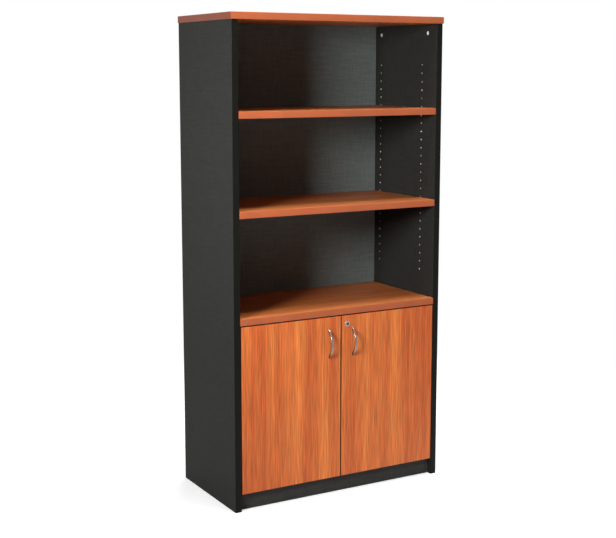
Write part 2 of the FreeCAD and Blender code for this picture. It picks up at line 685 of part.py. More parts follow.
def make_lock():
    """A cam lock in the right door, its turning plug and tongue, and the strike under the fixed shelf."""
    x = size("Dims.door_centre_gap / 2 + Dims.lock_inset")
    z = size(f"{DOOR_TOP} - Dims.lock_drop")
    front, bore_radius = size(FRONT), size("Dims.lock_bore")
    axis = V(x, front, z)
    back = V(0, 1, 0)
    plug_radius, fit = 6.0, 0.05

    def turned(radius, first, last):
        return Part.makeCylinder(radius, last - first, axis + back * first, back)

    bezel = rod(11.0, 2.0, 0, CUP_SIDES)
    bezel = bezel.makeChamfer(0.8, [edge for edge in bezel.Edges if edge.CenterOfMass.z > 1.9])
    barrel = moved(rod(bore_radius - 0.2, 22.0, 0, CAM_SIDES), axis, back)
    housing = moved(bezel, axis, -back).fuse(barrel).cut(turned(plug_radius + fit, -3.0, 23.0))
    solids("lock_housing", [housing.removeSplitter()])
    nut = moved(rod(13.0, 3.0, 0, CAM_SIDES), axis + back * size("Dims.door_board"), back)
    collar = moved(rod(bore_radius + 0.3, 9.0, -4.0, CAM_SIDES), axis + back * size("Dims.door_board"), back)
    solids("lock_nut", [nut.cut(collar)])

    plug = turned(plug_radius, -2.0, 22.3)
    keyway = Part.makeBox(1.4, 6.0, 8.0, axis + V(-0.7, -2.5, -4.0))
    spindle = Part.makeBox(6.0, 3.2, 6.0, axis + V(-3.0, 22.3, -3.0))
    solids("lock_plug", [plug.cut(keyway).fuse(spindle).removeSplitter()])
    tongue_thick, tongue_reach = 2.0, 31.0
    eye = moved(rod(8.0, tongue_thick, 0, CAM_SIDES), axis + back * 22.5, back)
    strap = Part.makeBox(tongue_reach, tongue_thick, 11.0, axis + V(0, 22.5, -5.5))
    socket = Part.makeBox(6.0, 6.0, 6.0, axis + V(-3.0, 20.0, -3.0))
    solids("lock_tongue", [eye.fuse(strap).cut(socket).removeSplitter()])
    tongue_screw = moved(rod(4.5, 2.0), axis + back * 25.5, back)
    solids("lock_tongue_screw", [tongue_screw])

    under = size("Dims.fixed_shelf_top - Dims.board")
    half, plate, leg, foot = 17.0, 1.5, 17.0, 24.0
    hang = Part.makeBox(2 * half, plate, leg, V(x - half, front + 19.7, under - leg))
    flat = Part.makeBox(2 * half, foot, plate, V(x - half, front + 19.7, under - plate))
    heads = [V(x + end, front + 36, under - plate) for end in (-11, 11)]
    holes = [moved(rod(2.0, 4, -2), head) for head in heads]
    solids("lock_strike", [hang.fuse(flat).cut(holes).removeSplitter()])
    strike_screw = screw(3.2, 1.4, 1.6, 12.0)
    solids("lock_strike_screws", [moved(strike_screw, head, -UP) for head in heads])


# ---- build, check and write ----

make_top()
for side_hand in (-1, 1):
    make_side(side_hand)
make_fixed_boards()
make_loose_shelf("upper_shelf", "0", UPPER_Z)
make_loose_shelf("middle_shelf", "0", MIDDLE_Z)
make_loose_shelf("cupboard_shelf", "Dims.inner_shelf_setback", LOWER_Z)
make_supports()
make_cams()
make_dowels()
make_hinges()
for door_hand in (-1, 1):
    make_door(door_hand)
make_lock()
doc.recompute()

for item in doc.Objects:
    if {"Invalid", "Error"} & set(item.State):
        raise RuntimeError(f"{item.Name} failed: {item.State}")

nodes = [item for item in doc.Objects if item.isDerivedFrom("PartDesign::Body") or item.TypeId == "Part::Feature"]
for node in nodes:
    if node.Shape.isNull() or not node.Shape.isValid():
        raise RuntimeError(f"{node.Label} has no valid shape")

os.makedirs("parts", exist_ok=True)
for node in nodes:
    node.Shape.exportStep(os.path.join("parts", f"{node.Label}.step"))
print(f"{len(nodes)} nodes written")
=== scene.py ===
"""Half-door cupboard: the finishes, handles, lock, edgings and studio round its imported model.

X runs to the right, Y to the rear and Z up, in metres; MM turns millimetres into metres.
"""

import math

import bmesh
import bpy
import numpy as np
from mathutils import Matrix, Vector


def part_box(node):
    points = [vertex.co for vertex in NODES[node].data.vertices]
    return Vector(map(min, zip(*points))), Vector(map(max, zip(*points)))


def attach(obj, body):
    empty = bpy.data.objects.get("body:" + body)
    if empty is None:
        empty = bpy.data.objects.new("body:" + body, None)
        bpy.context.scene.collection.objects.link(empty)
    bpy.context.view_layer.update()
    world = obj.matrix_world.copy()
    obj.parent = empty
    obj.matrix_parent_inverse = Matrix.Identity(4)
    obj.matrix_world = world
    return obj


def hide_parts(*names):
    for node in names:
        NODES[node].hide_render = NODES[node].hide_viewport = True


bl_info = {
    "name": "Half-door cupboard",
    "version": (1, 0, 0),
    "blender": (4, 5, 0),
    "location": "3D View > Sidebar > Cupboard",
    "description": "Finishes a half-door cupboard in melamine, edging and metal, and puts it in a studio",
    "category": "Object",
}

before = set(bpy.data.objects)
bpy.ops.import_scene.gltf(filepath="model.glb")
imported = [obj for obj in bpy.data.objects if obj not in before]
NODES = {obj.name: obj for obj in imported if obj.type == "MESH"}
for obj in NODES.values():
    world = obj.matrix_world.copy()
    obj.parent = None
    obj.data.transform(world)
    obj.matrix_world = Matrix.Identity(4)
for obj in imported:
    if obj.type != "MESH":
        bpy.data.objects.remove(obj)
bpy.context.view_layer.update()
MM = 0.001

# shelf-pin holes in the sides: two columns nine pitches apart, above and below the fixed shelf
INNER_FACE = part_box("right_side_panel")[0].x
PIN_PITCH = 32 * MM
PIN_COLUMN = -113.5 * MM
PIN_COLUMN_GAP = 9 * PIN_PITCH
PIN_RANGES = ((820 * MM, 1620 * MM), (372 * MM, 436 * MM))
PIN_DEPTH = 12.2 * MM
PIN_RIM = 2.8 * MM

# printed and pressed decors; real pores are 0.2 mm wide and real linen threads 0.5 mm, and both are drawn
# coarser so that they show
BAND_LENGTH = 1600 * MM
STREAK_LENGTH = 800 * MM
STREAK_PART = 0.3
BAND_SPAN = (0.42, 0.92)
PORE_WIDTH, PORE_LENGTH = 3 * MM, 110 * MM
THREAD_WIDTH, THREAD_LENGTH = 2.5 * MM, 60 * MM
PRESS_DEPTH = 0.1 * MM

# the values that a noise mostly lies between: a wide span gives a soft pattern and a narrow one a strong one
WIDE_SPAN = (0.25, 0.75)
NARROW_SPAN = (0.3, 0.7)
TWO_NOISES_SPAN = (0.7, 1.3)

# the shelves and each door are cut from different parts of the decor, counted in blots along X, Y and Z
SHELF_CUT = (1.3, 4.0, 0.0)
DOOR_CUTS = {"left": (5.9, 0.0, 5.0), "right": (12.9, 0.0, 2.0)}

# how finely the surfaces are drawn: points on a quarter circle, on a full one, along a handle and round it
QUARTER_POINTS = 9
CIRCLE_POINTS = 96
BOW_POINTS = 97
BOW_AROUND = 40

# the camera stands in front to the left, turned right and pitched down by radians
CAMERA_PLACE = (-2.292, -3.958, 1.601)
CAMERA_YAW, CAMERA_PITCH = 0.5205, 0.1495
CAMERA_SHIFT = -0.031
SENSOR_WIDTH = 36.0

# half the floor's side, and where it starts and ends to give way to plain white
FLOOR_REACH = 30.0
FLOOR_FADE = (1.2, 2.4)


# ---- properties ----


def linear(code):
    """An sRGB hex colour such as #c86432 as linear RGBA."""
    parts = np.array([int(code[i : i + 2], 16) for i in (1, 3, 5)]) / 255
    bent = np.where(parts <= 0.04045, parts / 12.92, ((parts + 0.055) / 1.055) ** 2.4)
    return (*bent.tolist(), 1.0)


def colour(name, description, code):
    """A colour that the user may change."""
    return bpy.props.FloatVectorProperty(
        name=name, description=description, default=linear(code), size=4, min=0, max=1, subtype="COLOR"
    )


def millimetres(name, description, value):
    """A length that the user may change, given in millimetres."""
    return bpy.props.FloatProperty(
        name=name, description=description, default=value * MM, min=0, subtype="DISTANCE", unit="LENGTH"
    )


class CupboardLooks(bpy.types.PropertyGroup):
    """Colours and small sizes of the finishes."""

    charcoal: colour("Charcoal", "Melamine of the sides and the bottom", "#292927")
    # the kickboard is the sides' charcoal, painted lighter to lift the shade under the doors
    charcoal_kick_painted_lighter: colour("Kickboard charcoal", "Melamine of the kickboard", "#464644")
    # the back panel's inner face is the sides' charcoal painted lighter and cooler, a painted glow in the
    # bays
    charcoal_back_painted_glow: colour("Back charcoal", "Melamine of the back panel's inner face", "#707a78")
    black_edging: colour("Black edging", "Edging on the front edges of the sides and the bottom", "#12120e")
    door_light: colour("Doors, light bands", "Lightest bands of the doors' cherry decor", "#f08a42")
    door_dark: colour("Doors, dark bands", "Darkest bands of the doors' cherry decor", "#c65828")
    # the shelves' decor is the doors' cherry painted darker and duller: painted shade and painted sheen
    shaded_shelf_light: colour("Shelves, light bands", "Lightest bands of the shelves' cherry decor", "#cc7a42")
    shaded_shelf_dark: colour("Shelves, dark bands", "Darkest bands of the shelves' cherry decor", "#b06030")
    shelf_edging: colour("Shelf edging", "Cherry edging on the top and the shelves", "#b65f39")
    # the ends' edging is the same cherry edging painted darker: painted shade on the top's ends
    end_edging_painted_shade: colour("End edging", "Darker cherry edging on the top's two ends", "#6e3219")
    # the doors' edging is the cherry edging painted dark, a painted shade that darkens the gap between the
    # doors
    door_edging_painted_gap_shade: colour("Door edging", "Dark cherry edging round the doors", "#4c2110")
    chipboard: colour("Chipboard", "Raw core at the shelf-pin holes", "#dcd5c6")
    band_width: millimetres("Band width", "Width of the broad bands of the cherry decor", 45)
    streak_width: millimetres("Streak width", "Width of the fine streaks of the cherry decor", 6)
    door_round: millimetres("Door edge rounding", "Radius on the 1 mm edging round the doors", 0.8)
    shelf_round: millimetres("Board edge rounding", "Radius on the 2 mm edging of the other boards", 1.5)
    satin: bpy.props.FloatProperty(
        name="Satin",
        description="Roughness of the melamine faces",
        default=0.42,
        min=0,
        max=1,
        subtype="FACTOR",
    )


class CupboardStudio(bpy.types.PropertyGroup):
    """Light and camera of the studio."""

    key_power: bpy.props.FloatProperty(
        name="Key light", description="Power that sets all four softboxes", default=92, min=0, unit="POWER"
    )
    ambient: bpy.props.FloatProperty(
        name="Ambient", description="Strength of the white room on the object", default=0.06, min=0
    )
    floor_lift: bpy.props.FloatProperty(
        name="Floor lift", description="Added to the lit floor for the eye and in metal", default=0.52, min=0
    )
    lens: bpy.props.FloatProperty(
        name="Focal length", description="Lens of the camera", default=69.8, min=1, unit="CAMERA"
    )


# ---- materials ----


def add(tree, kind, values=(), links=(), **settings):
    """Adds a shader node: values are its sockets' numbers, links are its sockets' sources."""
    made = tree.nodes.new(kind)
    for name, value in settings.items():
        setattr(made, name, value)
    for socket, value in dict(values).items():
        made.inputs[socket].default_value = value
    for socket, source in dict(links).items():
        tree.links.new(source, made.inputs[socket])
    return made


def blank(name, **values):
    """A new material: itself, its node tree, its shader with the values set, and the place on the object."""
    material = bpy.data.materials.new(name)
    material.use_nodes = True
    tree = material.node_tree
    shader = tree.nodes["Principled BSDF"]
    for socket, value in values.items():
        shader.inputs[socket.replace("_", " ")].default_value = value
    return material, tree, shader, add(tree, "ShaderNodeTexCoord").outputs["Object"]


def fill_ramp(ramp, positions, tints):
    """Sets the two stops of a new colour ramp."""
    for element, position, tint in zip(ramp.elements, positions, tints):
        element.position = position
        element.color = tint


def grained(tree, place, sizes, detail, shift=(0, 0, 0), distortion=0.0):
    """Noise stretched along the grain: sizes are one blot's X, Y and Z, and shift is counted in blots."""
    scale = [1 / size for size in sizes]
    spread = add(tree, "ShaderNodeMapping", {"Location": shift, "Scale": scale}, {"Vector": place})
    settings = {"Scale": 1.0, "Detail": detail, "Roughness": 0.55, "Distortion": distortion}
    return add(tree, "ShaderNodeTexNoise", settings, {"Vector": spread.outputs["Vector"]}).outputs["Fac"]


def along(grain, across, length):
    """Blot sizes in X, Y and Z for a grain that runs along the axis number grain."""
    return [length if axis == grain else across for axis in range(3)]


def remapped(span, low, high):
    """Socket values of a map range that takes the span to low..high."""
    return {"From Min": span[0], "From Max": span[1], "To Min": low, "To Max": high}


def mottled(tree, tint, noise, span, amount):
    """The tint, a colour or a socket, times 1 - amount to 1 + amount as the noise goes over the span."""
    depth = add(tree, "ShaderNodeMapRange", remapped(span, 1 - amount, 1 + amount), {"Value": noise})
    values, links = {}, {"Scale": depth.outputs["Result"]}
    if isinstance(tint, bpy.types.NodeSocket):
        links[0] = tint
    else:
        values[0] = tuple(tint)[:3]
    return add(tree, "ShaderNodeVectorMath", values, links, operation="SCALE").outputs["Vector"]


def cherry_melamine(name, dark, light, looks, grain, shift):
    """Melamine-faced chipboard with a printed cherry decor: soft bands, fine streaks and pressed pores."""
    # a thin clear resin over print: full orange-brown colour with visible grain, and only a soft sheen
    material, tree, shader, place = blank(name, Roughness=looks.satin, IOR=1.5, Specular_IOR_Level=0.3)
    band = along(grain, looks.band_width, BAND_LENGTH)
    streak = along(grain, looks.streak_width, STREAK_LENGTH)
    bands = grained(tree, place, band, detail=1.5, shift=shift)
    streaks = grained(tree, place, streak, detail=2.5, shift=shift, distortion=0.3)
    pores = grained(tree, place, along(grain, PORE_WIDTH, PORE_LENGTH), detail=1.0, shift=shift)
    links = {0: streaks, 2: bands}
    joined = add(tree, "ShaderNodeMath", {1: STREAK_PART}, links, operation="MULTIPLY_ADD")
    tint = add(tree, "ShaderNodeValToRGB", links={"Fac": joined.outputs[0]})
    fill_ramp(tint.color_ramp, BAND_SPAN, (dark, light))
    shaded = mottled(tree, tint.outputs["Color"], pores, WIDE_SPAN, amount=0.32)
    tree.links.new(shaded, shader.inputs["Base Color"])
    press = {"Strength": 0.12, "Distance": PRESS_DEPTH}
    pressed = add(tree, "ShaderNodeBump", press, {"Height": pores})
    tree.links.new(pressed.outputs["Normal"], shader.inputs["Normal"])
    return material


def charcoal_melamine(name, tint, looks, gloss=0.02, patch=None, patch_tint=None):
    """Melamine-faced chipboard in plain charcoal, pressed with a fine linen grain.

    patch is a function that makes a mask of where the board shows patch_tint instead.
    """
    # a pressed, matt dark face: it stays near black, with a faint weave and hardly a reflection
    material, tree, shader, place = blank(name, Roughness=looks.satin, IOR=1.5, Specular_IOR_Level=gloss)
    upright = grained(tree, place, (THREAD_WIDTH, THREAD_WIDTH, THREAD_LENGTH), detail=2.0)
    lying = grained(tree, place, (THREAD_LENGTH, THREAD_LENGTH, THREAD_WIDTH), detail=2.0, shift=(7, 3, 1))
    weave = add(tree, "ShaderNodeMath", links={0: upright, 1: lying}, operation="ADD").outputs[0]
    source = mottled(tree, tint, weave, TWO_NOISES_SPAN, amount=0.2)
    if patch:
        links = {"Factor": patch(tree, place), "A": source}
        mixer = add(tree, "ShaderNodeMix", {"B": tuple(patch_tint)}, links, data_type="RGBA")
        source = mixer.outputs["Result"]
    tree.links.new(source, shader.inputs["Base Color"])
    press = {"Strength": 0.15, "Distance": PRESS_DEPTH}
    pressed = add(tree, "ShaderNodeBump", press, {"Height": weave})
    tree.links.new(pressed.outputs["Normal"], shader.inputs["Normal"])
    return material


def pin_hole_mask(tree, place):
    """1 in the shelf-pin holes and on their broken rims, where the raw core shows.

    Y and Z are wrapped by the holes' spacing, which folds all holes into one. A point is in it where it is
    within the rim's radius of the axis, no deeper than the hole, and at a height that has rows.
    """
    half_gap, half_pitch, first_row = PIN_COLUMN_GAP / 2, PIN_PITCH / 2, PIN_RANGES[0][0]
    flat = add(tree, "ShaderNodeVectorMath", {1: (0, 1, 1)}, {0: place}, operation="MULTIPLY")
    ends = {
        1: (1, PIN_COLUMN + half_gap, first_row + half_pitch),
        2: (-1, PIN_COLUMN - half_gap, first_row - half_pitch),
    }
    folded = add(tree, "ShaderNodeVectorMath", ends, {0: flat.outputs[0]}, operation="WRAP")
    centre = {1: (0, PIN_COLUMN, first_row)}
    away = add(tree, "ShaderNodeVectorMath", centre, {0: folded.outputs[0]}, operation="DISTANCE")
    inside = add(tree, "ShaderNodeMath", {1: PIN_RIM}, {0: away.outputs["Value"]}, operation="LESS_THAN")
    axes = add(tree, "ShaderNodeSeparateXYZ", links={"Vector": place}).outputs
    outwards = add(tree, "ShaderNodeMath", links={0: axes["X"]}, operation="ABSOLUTE")
    slack = 0.05 * MM
    depths = {1: INNER_FACE + PIN_DEPTH / 2, 2: PIN_DEPTH / 2 + slack}
    bored = add(tree, "ShaderNodeMath", depths, {0: outwards.outputs[0]}, operation="COMPARE")
    upper, lower = (
        add(
            tree,
            "ShaderNodeMath",
            {1: (low + high) / 2, 2: (high - low) / 2 + half_pitch},
            {0: axes["Z"]},
            operation="COMPARE",
        )
        for low, high in PIN_RANGES
    )
    rows = add(tree, "ShaderNodeMath", links={0: upper.outputs[0], 1: lower.outputs[0]}, operation="ADD")
    mask = inside
    for part in (bored, rows):
        links = {0: mask.outputs[0], 1: part.outputs[0]}
        mask = add(tree, "ShaderNodeMath", links=links, operation="MULTIPLY")
    return mask.outputs[0]


def rear_face_mask(tree, place):
    """1 on the rear face of the back panel, which is faced in the sides' own charcoal."""
    low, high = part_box("back_panel")
    depth = add(tree, "ShaderNodeSeparateXYZ", links={"Vector": place}).outputs["Y"]
    middle = {1: (low.y + high.y) / 2}
    return add(tree, "ShaderNodeMath", middle, {0: depth}, operation="GREATER_THAN").outputs[0]


def abs_edging(name, tint, roughness, gloss):
    """Extruded and scraped ABS edging: one colour, a little clouded over 90 mm."""
    # solid plastic, smoother than the boards' faces: a plain strip with a thin light along its arris
    material, tree, shader, place = blank(name, Roughness=roughness, IOR=1.53, Specular_IOR_Level=gloss)
    cloud = grained(tree, place, (90 * MM, 90 * MM, 90 * MM), detail=3.0)
    shaded = mottled(tree, tint, cloud, NARROW_SPAN, amount=0.07)
    tree.links.new(shaded, shader.inputs["Base Color"])
    return material


def metal(name, code, roughness):
    """Plated or cast metal: a clean tint whose roughness varies a little over blots of 6 mm."""
    change = 0.05
    material, tree, shader, place = blank(name, Metallic=1.0)
    shader.inputs["Base Color"].default_value = linear(code)
    cloud = grained(tree, place, (6 * MM, 6 * MM, 6 * MM), detail=2.0)
    ends = remapped(NARROW_SPAN, roughness - change, roughness + change)
    polish = add(tree, "ShaderNodeMapRange", ends, {"Value": cloud})
    tree.links.new(polish.outputs["Result"], shader.inputs["Roughness"])
    return material


def fluted_beech():
    """Machined beech of the dowels, with short flecks along their length."""
    # bare wood: pale and quite matt, with flecks just seen where a dowel shows
    material, tree, shader, place = blank("fluted_beech", Roughness=0.7)
    flecks = grained(tree, place, along(0, across=1.2 * MM, length=14 * MM), detail=3.0)
    tint = add(tree, "ShaderNodeValToRGB", links={"Fac": flecks})
    fill_ramp(tint.color_ramp, (0.35, 0.65), (linear("#b98d5c"), linear("#dcb888")))
    tree.links.new(tint.outputs["Color"], shader.inputs["Base Color"])
    return material


def finish(material, *names):
    """Gives a material to CAD nodes through their own material slots."""
    for name in names:
        piece = NODES[name]
        if not piece.material_slots:
            piece.data.materials.append(material)
        for slot in piece.material_slots:
            slot.material = material


# ---- surfaces ----


def make_piece(name, grid, material, body, node, sharp=35):
    """A piece from a grid of rings, (rows, columns, 3): every row closes on itself, and rows join in order.

    It takes the CAD node's place, with edges sharper than sharp degrees left sharp.
    """
    rows, columns = grid.shape[:2]
    number = np.arange(rows * columns).reshape(rows, columns)
    after = np.roll(number, -1, axis=1)
    faces = np.stack([number[:-1], after[:-1], after[1:], number[1:]], axis=-1).reshape(-1, 4)
    mesh = bpy.data.meshes.new(name)
    mesh.from_pydata(grid.reshape(-1, 3).tolist(), [], faces.tolist())
    shell = bmesh.new()
    shell.from_mesh(mesh)
    bmesh.ops.remove_doubles(shell, verts=shell.verts, dist=0.002 * MM)
    bmesh.ops.recalc_face_normals(shell, faces=shell.faces)
    shell.to_mesh(mesh)
    shell.free()
    mesh.shade_smooth()
    mesh.set_sharp_from_angle(angle=math.radians(sharp))
    mesh.materials.append(material)
    piece = bpy.data.objects.new(name, mesh)
    bpy.context.scene.collection.objects.link(piece)
    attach(piece, body)
    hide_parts(node)
    return piece


def closed(rows):
    """Adds a first and a last row that shrink the end rings to their centres, so that the ends are closed."""
    ends = [np.broadcast_to(row.mean(axis=0), row.shape) for row in (rows[0], rows[-1])]
    return np.concatenate([ends[0][None], rows, ends[1][None]])


def bow_handle(low, high):
    """A bow handle between the corners of its box.

    Outer and inner edge are arcs in the door's upright plane: from foot to foot through their middle, with
    angle t. A section spans from one to the other: point = middle of both + half their distance * sin(s) in
    that plane, and half the width * cos(s) across, both bent to a superellipse; the width swells to the
    middle as cos(t).
    """
    foot_length, thick, narrow, bend = 16 * MM, 5 * MM, 3 * MM, 0.72
    centre = (low + high) / 2
    reach, end, wide = high[1] - low[1], (high[2] - low[2]) / 2, (high[0] - low[0]) / 2

    def arc(half, rise, turn):
        """Points of the arc of half-chord half and height rise, at turn from -1 to 1."""
        radius = (half**2 + rise**2) / (2 * rise)
        angle = turn * 2 * np.arctan2(rise, half)
        return np.stack([radius - rise - radius * np.cos(angle), radius * np.sin(angle)], axis=-1)

    turn = np.linspace(-1, 1, BOW_POINTS)
    outer, inner = arc(end, reach, turn), arc(end - foot_length, reach - thick, turn)
    around = np.linspace(0, 2 * np.pi, BOW_AROUND, endpoint=False)
    cosine = np.sign(np.cos(around)) * np.abs(np.cos(around)) ** bend
    sine = np.sign(np.sin(around)) * np.abs(np.sin(around)) ** bend
    half_width = narrow + (wide - narrow) * np.cos(turn * np.pi / 2)
    plane = (outer + inner)[:, None] / 2 + (outer - inner)[:, None] / 2 * sine[None, :, None]
    x = centre[0] + half_width[:, None] * cosine
    y = high[1] + np.minimum(plane[..., 0], 0)
    return closed(np.stack([x, y, centre[2] + plane[..., 1]], axis=-1))


def turned(profile, axis):
    """A ring turned about an axis along Y.

    profile is a closed outline of (radius, y), carried round by the cosine and sine of the angle.
    """
    profile = np.array([*profile, profile[0]])
    angle = np.linspace(0, 2 * np.pi, CIRCLE_POINTS, endpoint=False)
    radius, y = profile[:, :1], profile[:, 1:]
    x, z = axis[0] + radius * np.cos(angle), axis[2] + radius * np.sin(angle)
    return np.stack([x, np.broadcast_to(axis[1] + y, x.shape), z], axis=-1)


def rounded_section(near, far, width, radius):
    """The section of an edging, as (outwards, along) pairs, with its outer face at 0.

    Both ends of the outer face are a quarter circle of the radius: outwards = radius * (sin(a) - 1) and
    along = near + radius * (1 - cos(a)), mirrored to far. The other face is width below it.
    """
    quarter = np.linspace(0, np.pi / 2, QUARTER_POINTS)
    first = np.stack([radius * (np.sin(quarter) - 1), near + radius * (1 - np.cos(quarter))], axis=-1)
    second = np.stack([first[::-1, 0], near + far - first[::-1, 1]], axis=-1)
    return np.concatenate([[[-width, near]], first, second, [[-width, far]]])


def edge_frame(low, high, width, radius, across):
    """Edging round a board: a rounded section carried along the board's four edges with mitred corners.

    The board is flat across the axis number across, and the section is width by the board's thickness. A
    corner of the frame moves each section point outwards along both of its edges.
    """
    first, second = (axis for axis in range(3) if axis != across)
    section = rounded_section(low[across], high[across], width, radius)
    rows = np.empty((4, len(section), 3))
    rows[..., across] = section[:, 1]
    for axis, signs in ((first, (-1, 1, 1, -1)), (second, (-1, -1, 1, 1))):
        signs = np.array(signs)[:, None]
        rows[..., axis] = np.where(signs < 0, low[axis], high[axis]) + signs * section[:, 0]
    return np.concatenate([rows, rows[:1]])


def edge_strip(low, high, run, radius):
    """Edging on a board's front: a rounded section, its outer face towards -Y, carried along the axis run.

    Its two ends are closed to their centres.
    """
    side = 2 - run
    section = rounded_section(low[side], high[side], high[1] - low[1], radius)
    rows = np.empty((2, len(section), 3))
    rows[..., 1] = low[1] - section[:, 0]
    rows[..., side] = section[:, 1]
    rows[..., run] = np.array([low[run], high[run]])[:, None]
    return closed(rows)


def corners(node):
    """A CAD node's lowest and highest corners as arrays."""
    return [np.array(corner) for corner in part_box(node)]


# ---- operators ----


class CUPBOARD_OT_boards(bpy.types.Operator):
    """Puts the charcoal and the cherry melamine on every board"""

    bl_idname = "cupboard.boards"
    bl_label = "Boards"

    def execute(self, context):
        looks = context.scene.cupboard_looks
        finish(charcoal_melamine("charcoal_melamine", looks.charcoal, looks), "bottom_panel")
        # the sides' charcoal painted lighter under the doors: painted light that lifts the shade falling
        # there
        finish(charcoal_melamine("charcoal_kick_melamine", looks.charcoal_kick_painted_lighter, looks), "kickboard")
        # the sides' holes show as pale dots of raw chipboard
        drilled = charcoal_melamine(
            "drilled_charcoal_melamine", looks.charcoal, looks, 0.02, pin_hole_mask, looks.chipboard
        )
        finish(drilled, "left_side_panel", "right_side_panel")
        # the sides' charcoal painted lighter and cooler on the inner face: a painted glow that the key light
        # brightens where it reaches, tinted to grey out the cherry's warm bounce
        back = charcoal_melamine(
            "charcoal_back_melamine", looks.charcoal_back_painted_glow, looks, 0.04, rear_face_mask, looks.charcoal
        )
        finish(back, "back_panel")
        # the grain runs along the shelves, and up the doors
        # painted shade and sheen: the top and the shelves get a darker, less saturated copy of the doors'
        # cherry decor
        name = "cherry_melamine_shelf"
        shelf = cherry_melamine(name, looks.shaded_shelf_dark, looks.shaded_shelf_light, looks, 0, SHELF_CUT)
        finish(shelf, "top_panel", "upper_shelf", "middle_shelf", "fixed_shelf", "cupboard_shelf")
        for side, cut in DOOR_CUTS.items():
            name = f"cherry_melamine_{side}_door"
            door = cherry_melamine(name, looks.door_dark, looks.door_light, looks, 2, cut)
            finish(door, f"{side}_door_panel")
        return {"FINISHED"}


class CUPBOARD_OT_edgings(bpy.types.Operator):
    """Makes the rounded edgings of the top, the shelves, the sides and the doors"""

    bl_idname = "cupboard.edgings"
    bl_label = "Edgings"

    def execute(self, context):
        looks = context.scene.cupboard_looks
        cherry = abs_edging("cherry_abs_edging", looks.shelf_edging, 0.35, 0.25)
        # painted shade: the doors' edging is darkened so that the gap between the doors reads dark
        gap_shade_cherry = abs_edging("dark_cherry_abs_edging", looks.door_edging_painted_gap_shade, 0.35, 0.2)
        # painted shade: the top's ends get a darker copy of the cherry edging
        shaded_end_cherry = abs_edging("end_cherry_abs_edging", looks.end_edging_painted_shade, 0.35, 0.2)
        black = abs_edging("black_abs_edging", looks.black_edging, 0.32, 0.08)
        shelves = ("upper_shelf", "middle_shelf", "fixed_shelf", "cupboard_shelf")
        strips = [(shelf, 0, cherry, "wood_decor_edging") for shelf in shelves]
        strips += [("bottom", 0, black, "dark_edging")]
        strips += [(side, 2, black, "dark_edging") for side in ("left_side", "right_side")]
        for board, run, material, slot in strips:
            node = f"{board}_edging"
            strip = edge_strip(*corners(node), run, looks.shelf_round)
            make_piece(f"{board}_edge_strip", strip, material, "carcass", node)
        frames = [("top", "top_panel", 2, looks.shelf_round, cherry, "carcass")]
        for side in ("left_door", "right_door"):
            frames.append((side, f"{side}_panel", 1, looks.door_round, gap_shade_cherry, side))
        for board, panel, across, radius, material, body in frames:
            node = f"{board}_edging"
            low, high = corners(node)
            ring = edge_frame(low, high, corners(panel)[0][0] - low[0], radius, across)
            made = make_piece(f"{board}_edge_frame", ring, material, body, node)
            if board == "top":
                self.paint_shade_on_ends(made, shaded_end_cherry)
        return {"FINISHED"}

    def paint_shade_on_ends(self, frame_piece, material):
        """The top's two ends carry the cherry edging painted darker, a painted shade on the ends; its front
        and rear keep their own.
        """
        mesh = frame_piece.data
        mesh.materials.append(material)
        centres = np.empty(len(mesh.polygons) * 3)
        mesh.polygons.foreach_get("center", centres)
        on_ends = np.abs(centres[::3]) > INNER_FACE
        mesh.polygons.foreach_set("material_index", on_ends.astype(np.int32))


class CUPBOARD_OT_handles(bpy.types.Operator):
    """Makes the two bow handles and their screws' finish"""

    bl_idname = "cupboard.handles"
    bl_label = "Handles"

    def execute(self, context):
        # satin plating: a warm grey bow with one bright streak where it faces the light; its tint is darkened
        # and warmed as a painted reflection of a dark room and the orange door
        satin = metal("satin_chrome_plate", "#8a7f76", 0.2)
        for side in ("left", "right"):
            node, body = f"{side}_handle", f"{side}_door"
            bow = bow_handle(*corners(node))
            make_piece(f"{side}_bow_handle", bow, satin, body, node, sharp=60)
            finish(satin, f"{side}_handle_screws")
        return {"FINISHED"}


class CUPBOARD_OT_lock(bpy.types.Operator):
    """Turns the lock's housing and finishes the lock's parts"""

    bl_idname = "cupboard.lock"
    bl_label = "Lock"

    def execute(self, context):
        # polished plating: a bright ring round the plug, which mirrors the room; its tint is darkened as a
        # painted reflection of a darker room
        chrome = metal("polished_chrome_plate", "#aaa49e", 0.12)
        housing = self.housing()
        make_piece("turned_lock_housing", housing, chrome, "right_door", "lock_housing")
        # brushed steel, painted dark: a dark middle to the ring, a painted shade in place of the keyway
        finish(metal("shaded_brushed_steel_plug", "#5c5854", 0.4), "lock_plug")
        # zinc plating on plain steel: an even light grey behind the door
        plated = metal("zinc_plated_lock_steel", "#a9a9a6", 0.35)
        finish(plated, "lock_nut", "lock_tongue", "lock_tongue_screw", "lock_strike", "lock_strike_screws")
        return {"FINISHED"}

    def housing(self):
        """The housing's grid: a flange whose front arris is a quarter circle, and a barrel behind it."""
        lip, chamfer, recess, clearance = 1.4 * MM, 0.4 * MM, 0.3 * MM, 0.05 * MM
        barrel, flange = 9 * MM, 2 * MM
        low, high = corners("lock_housing")
        plug_low, plug_high = corners("lock_plug")
        axis = np.array([(low[0] + high[0]) / 2, 0, (low[2] + high[2]) / 2])
        outer, bore = (high[0] - low[0]) / 2, (plug_high[0] - plug_low[0]) / 2 + clearance
        face, rear = low[1], high[1]
        bend = np.linspace(0, np.pi / 2, QUARTER_POINTS)
        rounded = np.stack([outer - lip * (1 - np.sin(bend)), face + lip * (1 - np.cos(bend))], axis=-1)
        mouth = [(bore, face + recess), (bore + chamfer, face)]
        behind = [(outer, face + flange), (barrel, face + flange), (barrel, rear), (bore, rear)]
        return turned([*mouth, *rounded, *behind], axis)


